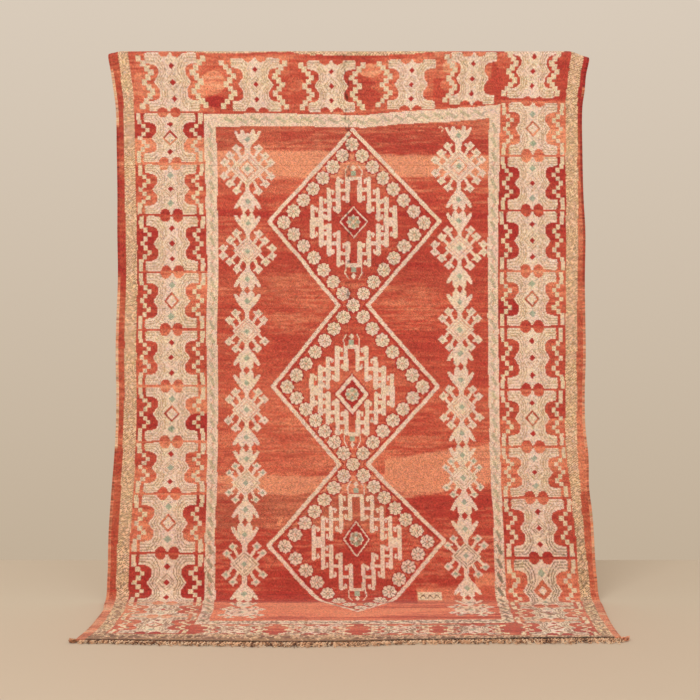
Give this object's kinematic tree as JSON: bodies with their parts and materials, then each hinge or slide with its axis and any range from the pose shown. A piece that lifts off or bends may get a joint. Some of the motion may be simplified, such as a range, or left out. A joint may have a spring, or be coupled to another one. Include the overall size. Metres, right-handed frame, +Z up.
{
  "type": "boujaad rug",
  "caption": "Hand-knotted wool pile rug with diamond medallions and borders, hung by its top end with its lower end laid forward on the floor.",
  "frame": {"origin": "on the floor, in the middle of the footprint, under the laid end", "axes": "+Z up, X across the rug, the pile of the hanging cloth faces -Y and the laid end runs towards -Y"},
  "size_m": [1.9266, 0.6654, 2.16],
  "materials": {
    "wool_pile": "matte cut wool pile in coral red, cream and sage",
    "warp_yarn": "matte twisted tan wool yarn",
    "selvedge_yarn": "matte wound rust-brown wool yarn"
  },
  "bodies": {
    "root": {"rug": "wool_pile", "fringe": "warp_yarn", "corner_tuft_left": "selvedge_yarn", "corner_tuft_right": "selvedge_yarn"}
  },
  "joints": []
}
